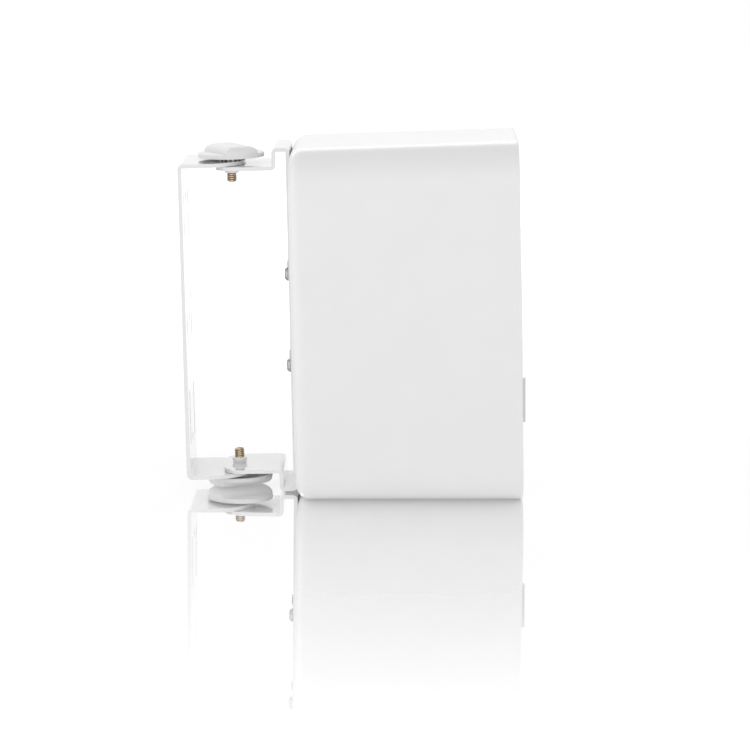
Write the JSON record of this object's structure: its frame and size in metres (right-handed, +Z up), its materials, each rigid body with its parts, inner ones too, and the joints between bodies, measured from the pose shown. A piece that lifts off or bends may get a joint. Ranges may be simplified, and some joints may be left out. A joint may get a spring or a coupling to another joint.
{
  "type": "surface-mount speaker",
  "caption": "White two-way speaker in a rounded drafted box with a crowned grille, held by a strap between the arms of a folded wall bracket and turned about knob-clamped pivots.",
  "frame": {"origin": "middle of the wall plate's back face, at its centre fixing hole", "axes": "+X from the wall to the listener, +Z up along the bracket's pivots, +Y to the listener's right"},
  "size_m": [0.221, 0.138, 0.232],
  "materials": {
    "cabinet_white": "fine moulded texture",
    "bracket_white": "smooth powder coat",
    "knob_white": "satin moulded",
    "yellow_zinc": "yellow passivated zinc",
    "bright_zinc": "bright zinc plate",
    "insert_brass": "turned",
    "grille_white": "powder coat",
    "badge_white": "satin",
    "baffle_black": "moulded",
    "gasket_foam": "closed-cell foam",
    "basket_black": "powder coat",
    "cone_black": "coated paper",
    "surround_rubber": "matt",
    "spider_cloth": "resin cloth",
    "coil_copper": "enamelled wire",
    "motor_steel": "zinc plate",
    "magnet_ferrite": "ground ferrite",
    "tweeter_black": "moulded",
    "dome_silk": "coated silk",
    "board_green": "solder mask",
    "capacitor_film": "film wrap",
    "resistor_cement": "ceramic",
    "terminal_black": "moulded",
    "lead_jacket": "soft jacket",
    "wadding_fibre": "polyester fibre"
  },
  "bodies": {
    "wall_bracket": {"wall_bracket": "bracket_white", "lock_washers": "bright_zinc"},
    "speaker": {"cabinet_shell": "cabinet_white", "speaker_bracket": "bracket_white", "pivot_nuts": "bracket_white", "bracket_screws": "bright_zinc", "baffle_screws": "bright_zinc", "woofer_screws": "bright_zinc", "tweeter_screws": "bright_zinc", "crossover_screws": "bright_zinc", "terminal_clamp_screws": "bright_zinc", "terminal_panel_screws": "bright_zinc", "bracket_inserts": "insert_brass", "front_grille": "grille_white", "badge": "badge_white", "front_baffle": "baffle_black", "baffle_gasket": "gasket_foam", "woofer_gasket": "gasket_foam", "terminal_gasket": "gasket_foam", "woofer_basket": "basket_black", "woofer_surround": "surround_rubber", "woofer_spider": "spider_cloth", "crossover_inductors": "coil_copper", "woofer_top_plate": "motor_steel", "woofer_yoke": "motor_steel", "woofer_magnet": "magnet_ferrite", "tweeter_motor": "magnet_ferrite", "tweeter_faceplate": "tweeter_black", "tweeter_dome": "dome_silk", "crossover_board": "board_green", "crossover_capacitors": "capacitor_film", "crossover_resistor": "resistor_cement", "terminal_panel": "terminal_black", "terminal_block": "terminal_black", "input_lead": "lead_jacket", "woofer_lead": "lead_jacket", "tweeter_lead": "lead_jacket", "acoustic_wadding": "wadding_fibre"},
    "knob_top": {"knob_top": "knob_white", "knob_screw_top": "yellow_zinc"},
    "knob_bottom": {"knob_bottom": "knob_white", "knob_screw_bottom": "yellow_zinc"},
    "woofer_cone": {"woofer_cone": "cone_black", "woofer_dust_cap": "cone_black", "woofer_voice_coil": "coil_copper"}
  },
  "joints": [
    {"name": "pan", "type": "hinge", "parent": "wall_bracket", "child": "speaker", "pos_m": [0.033, 0, 0], "axis": [0, 0, 1], "range_deg": [-45, 45]},
    {"name": "knob_top_turn", "type": "hinge", "parent": "speaker", "child": "knob_top", "pos_m": [0.033, 0, 0], "axis": [0, 0, 1], "continuous": true},
    {"name": "knob_bottom_turn", "type": "hinge", "parent": "speaker", "child": "knob_bottom", "pos_m": [0.033, 0, 0], "axis": [0, 0, 1], "continuous": true},
    {"name": "cone_stroke", "type": "slide", "parent": "speaker", "child": "woofer_cone", "axis": [1, 0, 0], "range_m": [-0.003, 0.003], "stiffness_N_per_m": 1500, "deforming": ["woofer_surround", "woofer_spider"]}
  ]
}
